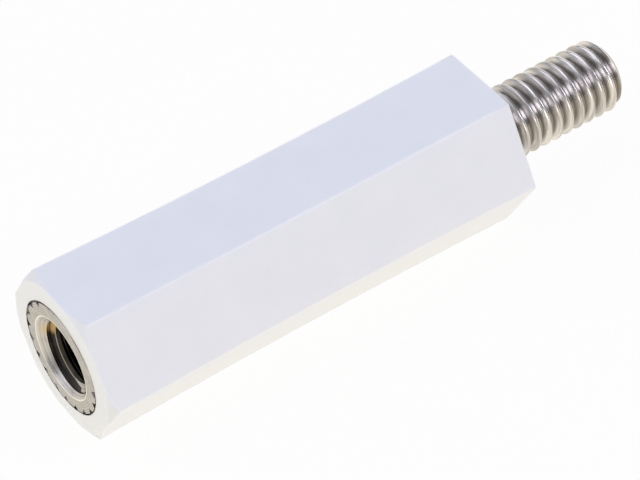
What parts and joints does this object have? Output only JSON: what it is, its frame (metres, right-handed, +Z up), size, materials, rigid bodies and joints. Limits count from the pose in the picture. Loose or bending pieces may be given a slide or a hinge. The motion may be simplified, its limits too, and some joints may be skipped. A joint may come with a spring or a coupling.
{
  "type": "hexagonal insulating spacer",
  "caption": "White plastic hexagonal insulating spacer with a knurled tapped metal insert in one end and a threaded metal stud on the other.",
  "frame": {"origin": "on the surface the spacer lies on, under the middle of its whole length", "axes": "+X along the spacer's axis towards the stud's tip, +Z up out of the flat that faces upwards, +Y completes the right-handed frame"},
  "size_m": [0.033, 0.0092, 0.008],
  "materials": {
    "white_polyamide": "moulded white polyamide with a faint sheen",
    "plated_brass": "nickel-plated, turned",
    "plated_steel": "bright plated, rolled thread"
  },
  "bodies": {
    "root": {"spacer_body": "white_polyamide", "tapped_insert": "plated_brass", "threaded_stud": "plated_steel"}
  },
  "joints": []
}
